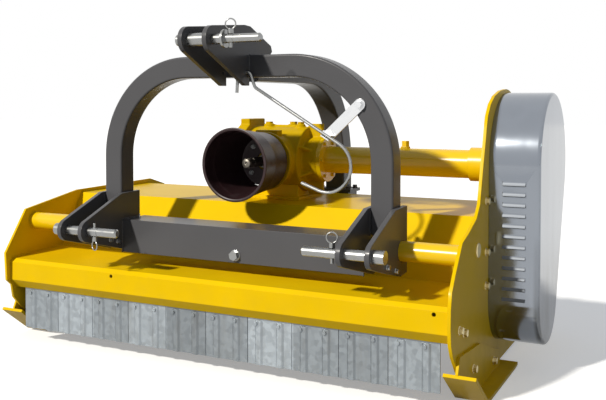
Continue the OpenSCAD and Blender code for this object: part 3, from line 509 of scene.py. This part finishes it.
@dataclass
class Workshop:
    """Makes, dresses and mounts pieces."""

    paints: Paintbox
    washer: float = 2.5 * MM
    weld: float = 3.2 * MM
    weld_pitch: float = 1.1
    made: list[str] = field(default_factory=list)

    def dress(self, thing: Piece, finish: str) -> None:
        """Puts a finish on an object.

        Args:
            thing: The object.
            finish: Name of the finish.
        """
        material = getattr(self.paints, finish).build()
        if not thing.material_slots:
            thing.data.materials.append(material)
        for place in thing.material_slots:
            place.material = material

    def mount(
        self, thing: Piece, name: str, finish: str, instead: Iterable[str] = (), body: str = Body.CHASSIS.value
    ) -> None:
        """Names, dresses and mounts a finished piece.

        Args:
            thing: The finished object, with its place in its mesh.
            name: Name of the piece.
            finish: Name of its finish; its record slot is looked up but not used.
            instead: Solids that it stands for.
            body: The body that it rides on.
        """
        slot = getattr(self.paints, finish).slot
        thing.name = name
        thing.data.name = name
        self.dress(thing, finish)
        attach(thing, body)
        if instead:
            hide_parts(*instead)
        self.made.append(name)
        log.info("piece %s on %s, %d faces", name, body, len(thing.data.polygons))

    def settle(self, thing: Piece) -> None:
        """Applies an object's place to its mesh."""
        select_only(thing)
        bpy.ops.object.transform_apply()

    def modify(self, name: str, kind: str, **settings: Any) -> None:
        """Gives the active object a modifier and applies it.

        Args:
            name: Name of the modifier.
            kind: Its type.
            settings: Its properties.
        """
        modifier = bpy.context.object.modifiers.new(name, kind)
        for key, value in settings.items():
            setattr(modifier, key, value)
        bpy.ops.object.modifier_apply(modifier=modifier.name)

    def copy_of(self, node: str, name: str) -> Piece:
        """Copies a solid, merges its corners and clears its flat faces of inner edges.

        Args:
            node: The solid.
            name: Name of the copy.

        Returns:
            The copy, in object mode.
        """
        thing = bpy.data.objects.new(name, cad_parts[node].data.copy())
        bpy.context.scene.collection.objects.link(thing)
        select_only(thing)
        bpy.ops.object.mode_set(mode="EDIT")
        bpy.ops.mesh.select_all(action="SELECT")
        bpy.ops.mesh.remove_doubles(threshold=1e-5)
        bpy.ops.mesh.dissolve_limited(angle_limit=math.radians(0.5))
        bpy.ops.object.mode_set(mode="OBJECT")
        return thing

    def weigh_edges(self, thing: Piece, weigh: Weigher) -> None:
        """Sets the bevel weight of each edge between two faces.

        Args:
            thing: The object.
            weigh: Gives the weight from the edge's middle, direction, angle in degrees and whether it is convex.
        """
        mesh = thing.data
        near = defaultdict(list)
        for face in mesh.polygons:
            for key in face.edge_keys:
                near[key].append(face)
        weights = mesh.attributes.new("bevel_weight_edge", "FLOAT", "EDGE")
        for edge in mesh.edges:
            faces = near[edge.key]
            if len(faces) != 2:
                continue
            start, end = (mesh.vertices[i].co for i in edge.vertices)
            angle = math.degrees(faces[0].normal.angle(faces[1].normal, 0))
            convex = (faces[1].center - faces[0].center).dot(faces[0].normal) < 0
            weights.data[edge.index].value = weigh((start + end) / 2, (end - start).normalized(), angle, convex)

    def rounded(
        self, node: str, finish: str, width: float, segments: int = 2, angle: float = 40,
        weigh: Weigher | None = None, body: str = Body.CHASSIS.value
    ) -> None:
        """Mounts a copy of a solid with rounded edges, in its place.

        Args:
            node: The solid.
            finish: Its finish.
            width: Width of the rounding, in metres.
            segments: Steps of the rounding.
            angle: Least angle of an edge that is rounded, in degrees.
            weigh: Gives each edge its share of the width, instead of the angle.
            body: The body that it rides on.
        """
        name = f"{node}_rounded"
        thing = self.copy_of(node, name)
        if weigh:
            self.weigh_edges(thing, weigh)
        limit = "WEIGHT" if weigh else "ANGLE"
        self.modify(
            "Rounded edges", "BEVEL", width=width, segments=segments, limit_method=limit,
            angle_limit=math.radians(angle)
        )
        bpy.ops.object.shade_smooth_by_angle(angle=math.radians(30))
        self.modify("Level flats", "WEIGHTED_NORMAL", keep_sharp=True)
        self.mount(thing, name, finish, [node], body)

    def lathe(self, points: list[tuple[float, float]], steps: int) -> Piece:
        """Turns a profile round the Z axis.

        Args:
            points: Radius and height of each point of the profile, in metres.
            steps: Steps of the turn.

        Returns:
            The turned piece.
        """
        bpy.ops.mesh.primitive_plane_add(size=1 * MM, location=(points[0][0], 0, points[0][1]))
        piece = bpy.context.object
        self.settle(piece)
        bpy.ops.object.mode_set(mode="EDIT")
        bpy.ops.mesh.select_all(action="SELECT")
        bpy.ops.mesh.merge(type="CENTER")
        for (r0, z0), (r1, z1) in zip(points, points[1:]):
            bpy.ops.mesh.extrude_region_move(TRANSFORM_OT_translate={"value": (r1 - r0, 0, z1 - z0)})
        bpy.ops.mesh.select_all(action="SELECT")
        bpy.ops.mesh.spin(steps=steps, angle=math.tau, center=(0, 0, 0), axis=(0, 0, 1))
        bpy.ops.mesh.select_all(action="SELECT")
        bpy.ops.mesh.remove_doubles(threshold=1e-6)
        bpy.ops.mesh.normals_make_consistent()
        bpy.ops.object.mode_set(mode="OBJECT")
        bpy.ops.object.shade_smooth_by_angle(angle=math.radians(40))
        return piece

    def put(self, thing: Piece, place: Matrix) -> Piece:
        """Moves the mesh of an object at the origin to its place, and returns the object."""
        thing.data.transform(place)
        return thing

    def hex_bolt(self, across_flats: float, height: float) -> Piece:
        """Models a hexagon head with a chamfered top on its washer.

        Args:
            across_flats: Width of the hexagon.
            height: Height of the head.

        Returns:
            The bolt head, standing on the origin and pointing along +Z.
        """
        rim, crown = across_flats * 0.675, across_flats * 0.64
        disc = self.lathe([(0, 0), (rim, 0), (rim, self.washer * 0.7), (crown, self.washer), (0, self.washer)], 28)
        bpy.ops.mesh.primitive_cylinder_add(
            vertices=6, radius=across_flats / math.sqrt(3), depth=height, location=(0, 0, self.washer + height / 2)
        )
        head = bpy.context.object
        self.settle(head)
        top = self.washer + height - 0.01 * MM
        for face in head.data.polygons:
            face.select = face.center.z > top
        bpy.ops.object.mode_set(mode="EDIT")
        bpy.ops.mesh.select_mode(type="FACE")
        for share, rise in ((0.07, 0.9 * MM), (0.1, -0.4 * MM)):
            bpy.ops.mesh.inset(thickness=across_flats * share)
            bpy.ops.transform.translate(value=(0, 0, rise))
        bpy.ops.mesh.select_mode(type="VERT")
        bpy.ops.object.mode_set(mode="OBJECT")
        whole = self.joined([disc, head])
        bpy.ops.object.shade_smooth_by_angle(angle=math.radians(35))
        return whole

    def scale_of_weld(self) -> Piece:
        """Models one solidified scale of a weld bead.

        Returns:
            The scale, with the bead's run along X.
        """
        bpy.ops.mesh.primitive_uv_sphere_add(segments=8, ring_count=5, radius=self.weld)
        scale = bpy.context.object
        scale.scale = (0.9, 1.0, 0.75)
        self.settle(scale)
        bpy.ops.object.shade_smooth()
        return scale

    def bead(self, start: Vector, end: Vector) -> Piece:
        """Lays a straight weld bead.

        Args:
            start: Where it begins, in metres.
            end: Where it ends.

        Returns:
            The bead.
        """
        bead = self.scale_of_weld()
        step = self.weld_pitch * self.weld
        self.modify(
            "Row of scales", "ARRAY", use_relative_offset=False, use_constant_offset=True,
            constant_offset_displace=(step, 0, 0), count=max(2, int((end - start).length / step))
        )
        turn = (end - start).to_track_quat("X", "Z").to_matrix().to_4x4()
        return self.put(bead, Matrix.Translation(start) @ turn)

    def round_bead(self, centre: Iterable[float], axis: Iterable[float], radius: float) -> Piece:
        """Lays a weld bead round a tube.

        Args:
            centre: Centre of the ring, in metres.
            axis: Direction of the tube.
            radius: Radius of the tube.

        Returns:
            The bead.
        """
        count = int(math.tau * radius / (self.weld_pitch * self.weld))
        upright = Matrix.Rotation(math.radians(90), 4, "Z")
        spots = [
            facing(centre, axis) @ Matrix.Rotation(math.tau * i / count, 4, "Z") @ Matrix.Translation((radius, 0, 0))
            @ upright
            for i in range(count)
        ]
        return self.copies(self.scale_of_weld(), spots)

    def joined(self, things: list[Piece]) -> Piece:
        """Joins several objects into one.

        Args:
            things: The objects.

        Returns:
            The joined object.
        """
        select_only(things[0])
        for other in things[1:]:
            other.select_set(True)
        bpy.ops.object.join()
        return things[0]

    def copies(self, model: Piece, places: Iterable[Matrix]) -> Piece:
        """Copies a small model to several places and joins the copies; the model is used up.

        Args:
            model: The model, at the origin and pointing along +Z.
            places: The place of each copy.

        Returns:
            One object with all the copies.
        """
        things = []
        for place in places:
            copy = bpy.data.objects.new(model.name, model.data.copy())
            copy.data.transform(place)
            bpy.context.scene.collection.objects.link(copy)
            things.append(copy)
        bpy.data.objects.remove(model)
        return self.joined(things)


def bolt_circle(radius: float, degrees: Iterable[float]) -> list[Triple]:
    """Gives two offsets from the middle, and the angle in degrees, of each place on a bolt circle."""
    return [(radius * math.cos(math.radians(turn)), radius * math.sin(math.radians(turn)), turn) for turn in degrees]


@dataclass
class Sheetwork:
    """Folded hood, side plates and belt guard, with the welds between them; places in millimetres."""

    shop: Workshop
    half_width: float = 800
    fold: float = 9 * MM
    inner_fold: float = 0.45
    cut_edge: float = 0.1
    plate_edge: float = 1.6 * MM
    guard_rim: float = 12 * MM
    guard_edge: float = 0.05
    guard_side: float = 966
    profile: Pairs = (
        (-540, 225), (-540, 288), (-528, 300), (-282, 311), (-170, 500), (250, 500), (262, 482), (280, 240)
    )
    tube_ends: tuple[Triple, ...] = ((-420, 421, 30.5), (335, 455, 25.5))
    pedestal: tuple[float, float, float, float] = (-125, 95, -40, 150)
    deck_top: float = 501

    def weigh_hood(self, middle: Vector, direction: Vector, angle: float, convex: bool) -> float:
        """Gives folds along X their rounding, less of it inside, and the cut edges a little."""
        fold = 1.0 if convex else self.inner_fold
        return fold if abs(direction.x) > 0.99 and 4 < angle < 80 else self.cut_edge * (angle > 60)

    def weigh_guard(self, middle: Vector, direction: Vector, angle: float, convex: bool) -> float:
        """Gives the outer rim its full rounding and every other edge a little."""
        outer = abs(middle.x - (self.guard_side - SHAFT_X) * MM) < 0.5 * MM
        return 1.0 if outer and angle > 60 and convex else self.guard_edge * (angle > 40)

    def build(self) -> None:
        """Builds the sheets, the plates and the weld beads."""
        self.shop.rounded("hood", "yellow", self.fold, 3, weigh=self.weigh_hood)
        for node in ("left_side_plate", "right_side_plate"):
            self.shop.rounded(node, "yellow", self.plate_edge)
        beads = []
        for side in (-1, 1):
            x = side * (self.half_width - 1)
            for (y0, z0), (y1, z1) in zip(self.profile, self.profile[1:]):
                beads.append(self.shop.bead(spot(x, y0, z0 + 1), spot(x, y1, z1 + 1)))
            for y, z, radius in self.tube_ends:
                beads.append(self.shop.round_bead(spot(x, y, z), (side, 0, 0), radius * MM))
        left, right, front, back = self.pedestal
        for start, end in (
            ((left, front), (right, front)), ((left, back), (right, back)), ((left, front), (left, back)),
            ((right, front), (right, back)),
        ):
            beads.append(self.shop.bead(spot(*start, self.deck_top), spot(*end, self.deck_top)))
        self.shop.mount(self.shop.joined(beads), "hood_weld_beads", "yellow")
        self.shop.rounded("belt_guard", "guard", self.guard_rim, 5, weigh=self.weigh_guard)


@dataclass
class Headstock:
    """Arch, beam, strut and plates with rounded tube corners, weld beads, small bolts and grease nipples."""

    shop: Workshop
    body: str = Body.HEADSTOCK.value
    offset: float = 82
    leg: float = 490
    half_tube: float = 35
    beam_end: float = 440
    corner: float = 7 * MM
    beam_corner: float = 3 * MM
    plate_edge: float = 1.4 * MM

    def at(self, x: float, y: float, z: float) -> Vector:
        """Turns a place given from the middle of the headstock to the model's metres."""
        return spot(x + self.offset, y, z)

    def tubes(self) -> None:
        """Rounds the square tubes and the flame-cut plates."""
        for nodes, width, steps in (
            (("arch_frame", "rear_strut"), self.corner, 3), (("cross_beam",), self.beam_corner, 2),
            (("hitch_plates_left", "hitch_plates_right", "top_bracket"), self.plate_edge, 2),
        ):
            for node in nodes:
                self.shop.rounded(node, "grey", width, steps, body=self.body)
        self.shop.rounded("hook_stay", "bright", 1 * MM, body=self.body)

    def welds(self) -> None:
        """Lays the beads of the plates, the beam, the bracket and the strut."""
        lines = []
        for side in (-1, 1):
            end, edge = side * self.beam_end, side * 40
            for x in (side * self.leg - self.half_tube, side * self.leg + self.half_tube):
                lines.append(((x, -456, 466), (x, -456, 545)))
            lines += [((end, -469, 349), (end, -469, 458)), ((end, -467, 459), (end, -375, 459))]
            for x in (side * 34.5, side * 49.5):
                lines += [((x, -456, 935), (x, -456, 1000)), ((x, -452, 1001), (x, -392, 1001))]
            lines += [((edge, -384, 925), (edge, -384, 998)), ((edge, 296, 513), (edge, 374, 513))]
        lines += [((-38, y, z), (38, y, z)) for y, z in ((-384, 921), (295, 513), (375, 513))]
        beads = [self.shop.bead(self.at(*start), self.at(*end)) for start, end in lines]
        self.shop.mount(self.shop.joined(beads), "headstock_weld_beads", "grey", body=self.body)

    def small_parts(self) -> None:
        """Sets the bolts of the plates and the beam, and two grease nipples on the beam."""
        lock = self.shop.hex_bolt(27 * MM, 12 * MM)
        self.shop.put(lock, facing(self.at(4, -468, 372), (0, -1, 0), 12))
        small = self.shop.hex_bolt(13 * MM, 6 * MM)
        spots = []
        for side in (-1, 1):
            for y, z in ((-470, 372), (-538, 394)):
                spots.append(facing(self.at(side * 540, y, z), (side, 0, 0), 20))
            for y, z in ((-492, 386), (-530, 397)):
                spots.append(facing(self.at(side * self.beam_end, y, z), (-side, 0, 0), 8))
        bolts = self.shop.joined([lock, self.shop.copies(small, spots)])
        self.shop.mount(bolts, "headstock_bolts", "zinc", ["beam_bolts"], self.body)
        nipple = self.shop.lathe(
            millimetres((0, 0), (4, 0), (4, 5), (2.2, 7), (2.2, 9), (3.2, 11), (2.4, 13.5), (0, 14)), 20
        )
        spots = [facing(self.at(side * 415, -409, 458), (0, 0, 1)) for side in (-1, 1)]
        self.shop.mount(self.shop.copies(nipple, spots), "beam_grease_nipples", "zinc", body=self.body)

    def build(self) -> None:
        """Builds the whole headstock."""
        self.tubes()
        self.welds()
        self.small_parts()


@dataclass
class Gearbox:
    """Cast gearbox with blended corners, the turned guard cone on its snout and the shaft's end in it."""

    shop: Workshop
    axis_y: float = 55
    axis_z: float = 645
    snout_y: float = -125
    voxel: float = 3.2 * MM
    cover_x: float = -171.5
    cover_circle: float = 126
    cover_bolts: int = 12
    screw_circle: float = 66
    shaft_reach: float = 124
    clip_start: Triple = (53, -285, 579)
    clip_end: Triple = (82.4, -285, 572.8)
    pads: tuple[tuple[float, float, float, Triple], ...] = (
        (-151, 55, 772, (40, 118, 40)), (-20, -58, 738, (90, 40, 30)), (-20, 168, 738, (90, 40, 30)),
        (-20, 55, 758, (120, 16, 24)), (118, 55, 745, (60, 14, 60)), (118, 55, 545, (60, 14, 60)),
    )
    plugs: Pairs = ((-74, 45), (12, 77), (62, 39))
    cone_profile: Pairs = (
        (30, 0), (88, 0), (91.5, 1.5), (92.5, 5), (99, 23), (103, 26), (105.2, 56), (111.2, 120), (111.8, 121.4),
        (112, 124), (117.4, 184), (118.6, 192), (119.6, 203), (121.5, 205.5), (123.4, 206.6), (124.6, 208.6),
        (124, 210.8), (121.5, 212), (117, 211.8), (114.4, 210),
        (113.8, 206), (113.2, 186), (111, 160), (110.2, 158.6), (109.8, 156), (109.4, 152), (103.5, 92), (96, 28),
        (88, 5), (84, 4), (30, 4), (30, 0),
    )
    face_profile: Pairs = (
        (0, 2), (1.6, 2.2), (4.2, 5.4), (5.2, 5.8), (9, 5.8), (9.6, 5.4), (13.8, 5.4), (14.6, 5), (16.4, 2.4),
        (16.6, 0), (0, 0),
    )

    def casting(self) -> None:
        """Blends the housing's corners as a sand casting's, and bores it again."""
        pads = [self.shop.copy_of("gearbox_housing", "gearbox_casting")]
        for x, y, z, size in self.pads:
            bpy.ops.mesh.primitive_cube_add(size=1 * MM, location=spot(x, y, z))
            pad = bpy.context.object
            pad.scale = size
            self.shop.settle(pad)
            pads.append(pad)
        thing = self.shop.joined(pads)
        self.shop.modify("Cast skin", "REMESH", mode="VOXEL", voxel_size=self.voxel)
        self.shop.modify("Cast corners", "SMOOTH", factor=0.5, iterations=3)
        bpy.ops.object.shade_smooth()
        depth = 110 * MM
        for start, way, radius in (
            (spot(58, self.axis_y, self.axis_z), (1, 0, 0), 24.5 * MM),
            (spot(0, -26, self.axis_z), (0, -1, 0), 26.5 * MM),
        ):
            bpy.ops.mesh.primitive_cylinder_add(vertices=64, radius=radius, depth=depth, location=(0, 0, depth / 2))
            cutter = bpy.context.object
            self.shop.settle(cutter)
            self.shop.put(cutter, facing(start, way))
            select_only(thing)
            self.shop.modify("Bore", "BOOLEAN", object=cutter, operation="DIFFERENCE")
            bpy.data.objects.remove(cutter)
        self.shop.mount(thing, "gearbox_casting", "casting", ["gearbox_housing"])

    def hardware(self) -> None:
        """Sets the cover's bolts and the filler, level and breather plugs."""
        # Each head stops at its own angle
        model = self.shop.hex_bolt(15 * MM, 8 * MM)
        step = 360 / self.cover_bolts
        places = bolt_circle(self.cover_circle, [step / 2 + step * i for i in range(self.cover_bolts)])
        spots = [
            facing(spot(self.cover_x, self.axis_y + y, self.axis_z + z), (-1, 0, 0), 7 * i)
            for i, (y, z, _) in enumerate(places)
        ]
        self.shop.mount(self.shop.copies(model, spots), "gearbox_cover_bolts", "casting")
        plug = self.shop.hex_bolt(24 * MM, 9 * MM)
        spots = [facing(spot(x, y, 769), (0, 0, 1), 14 * x) for x, y in self.plugs]
        self.shop.mount(self.shop.copies(plug, spots), "gearbox_plugs", "casting")

    def cone(self) -> None:
        """Turns the guard cone with its rolled rim and inner step, and sets its clamp screws."""
        cone = self.shop.lathe(millimetres(*self.cone_profile), 112)
        self.shop.put(cone, facing(spot(0, self.snout_y, self.axis_z), (0, -1, 0)))
        self.shop.mount(cone, "turned_guard_cone", "plastic", ["shaft_guard_cone"])
        screw = self.shop.hex_bolt(13 * MM, 6 * MM)
        spots = [
            facing(spot(x, self.snout_y - 4, self.axis_z + z), (0, -1, 0), turn)
            for x, z, turn in bolt_circle(self.screw_circle, (40, 130, 220, 310))
        ]
        self.shop.mount(self.shop.copies(screw, spots), "guard_cone_screws", "zinc")

    def shaft_end(self) -> None:
        """Turns the shaft's chamfered end face with its centre hole, and the clip's rod at the cone's mouth."""
        face = self.shop.lathe(millimetres(*self.face_profile), 48)
        self.shop.put(face, facing(spot(0, self.snout_y - self.shaft_reach, self.axis_z), (0, -1, 0)))
        self.shop.mount(face, "shaft_end_face", "steel", body=Body.INPUT.value)
        rod = self.shop.lathe(millimetres((0, 0), (2.2, 0.6), (2.6, 2), (2.6, 29), (0, 30)), 20)
        start, end = spot(*self.clip_start), spot(*self.clip_end)
        self.shop.put(rod, facing(start, end - start))
        self.shop.mount(rod, "cone_spring_clip", "zinc")

    def build(self) -> None:
        """Builds the gearbox, its plugs, its cone and the shaft's end."""
        self.casting()
        self.hardware()
        self.cone()
        self.shaft_end()
        self.shop.rounded("output_tube", "tube", 2 * MM)
        self.shop.rounded("gearbox_pedestal", "yellow", 2.5 * MM)


@dataclass
class SwingingParts:
    """Pressed flaps with softened ribs, and forged hammers with worn edges, each on its own body."""

    shop: Workshop

    def build(self) -> None:
        """Builds the flaps and the hammers."""
        for kind, finish, width, angle in (("flap", "galvanised", 1 * MM, 18), ("hammer", "forged", 2 * MM, 30)):
            for name in [f"{kind}_{number}" for number in NUMBERS]:
                self.shop.rounded(name, finish, width, angle=angle, body=name)


@dataclass
class Fasteners:
    """Hexagon bolts of the side plates, skids and rotor bearing."""

    shop: Workshop
    half_out: float = 810
    bearing_z: float = 235
    bearing_circle: float = 82
    plate_bolts: Pairs = ((-192, 553), (-192, 397), (-192, 294), (-478, 226), (-434, 209))
    skid_bolts: Pairs = ((-360, 88), (-120, 44))

    def build(self) -> None:
        """Sets the bolts and the washer, and softens the skids and bearings."""
        # Each head stops at its own angle
        spots = [facing(spot(self.half_out, y, z), (1, 0, 0), y) for y, z in self.plate_bolts]
        for side in (-1, 1):
            for y, z in self.skid_bolts:
                spots.append(facing(spot(side * (self.half_out + 8), y, z), (side, 0, 0), 2 * z))
        large = self.shop.copies(self.shop.hex_bolt(19 * MM, 9 * MM), spots)
        spots = [
            facing(spot(-self.half_out - 14, y, self.bearing_z + z), (-1, 0, 0), turn / 7)
            for y, z, turn in bolt_circle(self.bearing_circle, (45, 135, 225, 315))
        ]
        small = self.shop.copies(self.shop.hex_bolt(16 * MM, 8 * MM), spots)
        washer = self.shop.lathe(millimetres((0, 0), (22, 0), (22, 2.4), (20.6, 4), (0, 4)), 40)
        self.shop.put(washer, facing(spot(self.half_out, -285, 417), (1, 0, 0)))
        self.shop.mount(self.shop.joined([large, small, washer]), "side_plate_bolts", "passivated", ["side_bolts"])
        for node in ("skid_left", "skid_right", "bearing_housings"):
            self.shop.rounded(node, "yellow", 2 * MM)


@dataclass
class Studio:
    """Camera, sun, floor and background; the sun's direction follows the photograph's shadows."""

    eye: Triple = (1.388, -2.5815, 0.851)
    yaw: float = 26.65
    pitch: float = -1.62
    focal_px: float = 826.3
    principal_row: float = 126.4
    image: tuple[int, int] = (606, 400)
    sun_travel: Triple = (0.43, 1.0, -0.72)
    sun_spread: float = 3
    sun_strength: float = 4.3
    sun_colour: str = "#fffaf0"
    sky_strength: float = 0.3
    sky_colour: str = "#e6eefa"
    floor_size: float = 60
    floor_drop: float = 0.5 * MM
    floor_colour: str = "#ececec"
    floor_glow: float = 0.34
    bounce_colour: str = "#8c8c88"

    def camera(self) -> None:
        """Places the camera where the photograph was taken from."""
        data = bpy.data.cameras.new("camera")
        data.sensor_width = 36
        data.lens = self.focal_px * data.sensor_width / self.image[0]
        data.shift_y = (self.principal_row - self.image[1] / 2) / self.image[0]
        data.clip_end = 100
        eye = bpy.data.objects.new("camera", data)
        eye.location = self.eye
        eye.rotation_euler = (math.radians(90 + self.pitch), 0, math.radians(self.yaw))
        bpy.context.scene.collection.objects.link(eye)
        bpy.context.scene.camera = eye

    def sun(self) -> None:
        """Adds the sun, wider than the real one for softer shadows."""
        data = bpy.data.lights.new("key", "SUN")
        data.angle = math.radians(self.sun_spread)
        data.energy = self.sun_strength
        data.color = linear(self.sun_colour)[:3]
        lamp = bpy.data.objects.new("key", data)
        lamp.rotation_euler = Vector(self.sun_travel).to_track_quat("-Z", "Y").to_euler()
        bpy.context.scene.collection.objects.link(lamp)

    def seen(self, tree: Tree) -> Socket:
        """Tells whether a ray comes from the camera, a glossy face or through glass.

        Args:
            tree: The node tree.

        Returns:
            One if it does, and zero otherwise.
        """
        path = add_node(tree, "LightPath").outputs
        answer = path["Is Camera Ray"]
        for other in ("Is Glossy Ray", "Is Transmission Ray"):
            answer = add_node(tree, "Math", {0: answer, 1: path[other]}, operation="MAXIMUM").outputs[0]
        return answer

    def background(self) -> None:
        """Lights the scene from all round and shows white behind it."""
        world = bpy.data.worlds.new("white surround")
        bpy.context.scene.world = world
        world.use_nodes = True
        tree = world.node_tree
        tree.nodes.clear()
        colour = linear(self.sky_colour)
        sky = add_node(tree, "Background", {"Color": colour, "Strength": self.sky_strength})
        white = add_node(tree, "Background", {"Color": (1, 1, 1, 1), "Strength": 1.0})
        mixed = add_node(tree, "MixShader", {0: self.seen(tree), 1: sky.outputs[0], 2: white.outputs[0]})
        add_node(tree, "OutputWorld", {"Surface": mixed.outputs[0]})

    def floor(self) -> None:
        """Lays a floor that looks white, keeps the machine's shadow and throws little light up."""
        bpy.ops.mesh.primitive_plane_add(size=self.floor_size, location=(0, 0, -self.floor_drop))
        floor = bpy.context.object
        floor.name = "floor"
        material = bpy.data.materials.new("pale_studio_floor")
        material.use_nodes = True
        tree = material.node_tree
        tree.nodes.clear()
        paper = add_node(tree, "BsdfDiffuse", {"Color": linear(self.floor_colour)})
        glow = add_node(tree, "Emission", {"Color": (1, 1, 1, 1), "Strength": self.floor_glow})
        shown = add_node(tree, "AddShader", {0: paper.outputs[0], 1: glow.outputs[0]})
        dull = add_node(tree, "BsdfDiffuse", {"Color": linear(self.bounce_colour)})
        both = add_node(tree, "MixShader", {0: self.seen(tree), 1: dull.outputs[0], 2: shown.outputs[0]})
        add_node(tree, "OutputMaterial", {"Surface": both.outputs[0]})
        floor.data.materials.append(material)

    def build(self) -> None:
        """Builds the whole studio."""
        bpy.context.scene.view_settings.view_transform = "Standard"
        self.camera()
        self.sun()
        self.background()
        self.floor()


@dataclass
class Dressing:
    """Finishes of all the frame's solids."""

    shop: Workshop
    by_finish: dict[str, tuple[str, ...]] = field(
        default_factory=lambda: {
            "yellow": (
                "hood", "left_side_plate", "right_side_plate", "gearbox_pedestal", "bearing_housings", "skid_left",
                "skid_right", "roller_frame", "roller",
            ),
            "tube": ("guide_tube", "output_tube"),
            "casting": ("gearbox_housing",),
            "grey": (
                "arch_frame", "cross_beam", "rear_strut", "strut_foot", "hitch_plates_left", "hitch_plates_right",
                "top_bracket",
            ),
            "guard": ("belt_guard",),
            "plastic": ("shaft_guard_cone",),
            "rubber": ("drive_belts",),
            "zinc": (
                "rear_rail", "beam_bolts", "shaft_hook", "lower_pin_left", "lower_pin_right", "top_pin",
                "linch_pin_left", "linch_pin_right", "linch_pin_top",
            ),
            "bright": ("hook_stay",),
            "passivated": ("side_bolts",),
            "steel": ("flap_rod", "half_shaft", "upper_pulley", "input_shaft", "rotor_tube", "rotor_pulley"),
            "forged": tuple(f"hammer_{number}" for number in NUMBERS),
            "galvanised": tuple(f"flap_{number}" for number in NUMBERS),
        }
    )

    def build(self) -> None:
        """Dresses every solid of the frame."""
        for finish, nodes in self.by_finish.items():
            for node in nodes:
                self.shop.dress(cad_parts[node], finish)
        dressed = {node for nodes in self.by_finish.values() for node in nodes}
        log.info("solids dressed: %d, left bare: %s", len(dressed), sorted(set(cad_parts) - dressed))


def main() -> None:
    """Builds the studio and every piece."""
    shop = Workshop(Paintbox())
    Studio().build()
    Dressing(shop).build()
    for trade in (Sheetwork, Headstock, Gearbox, SwingingParts, Fasteners):
        trade(shop).build()
    log.info("pieces made: %d", len(shop.made))


if __name__ == "__main__":
    main()
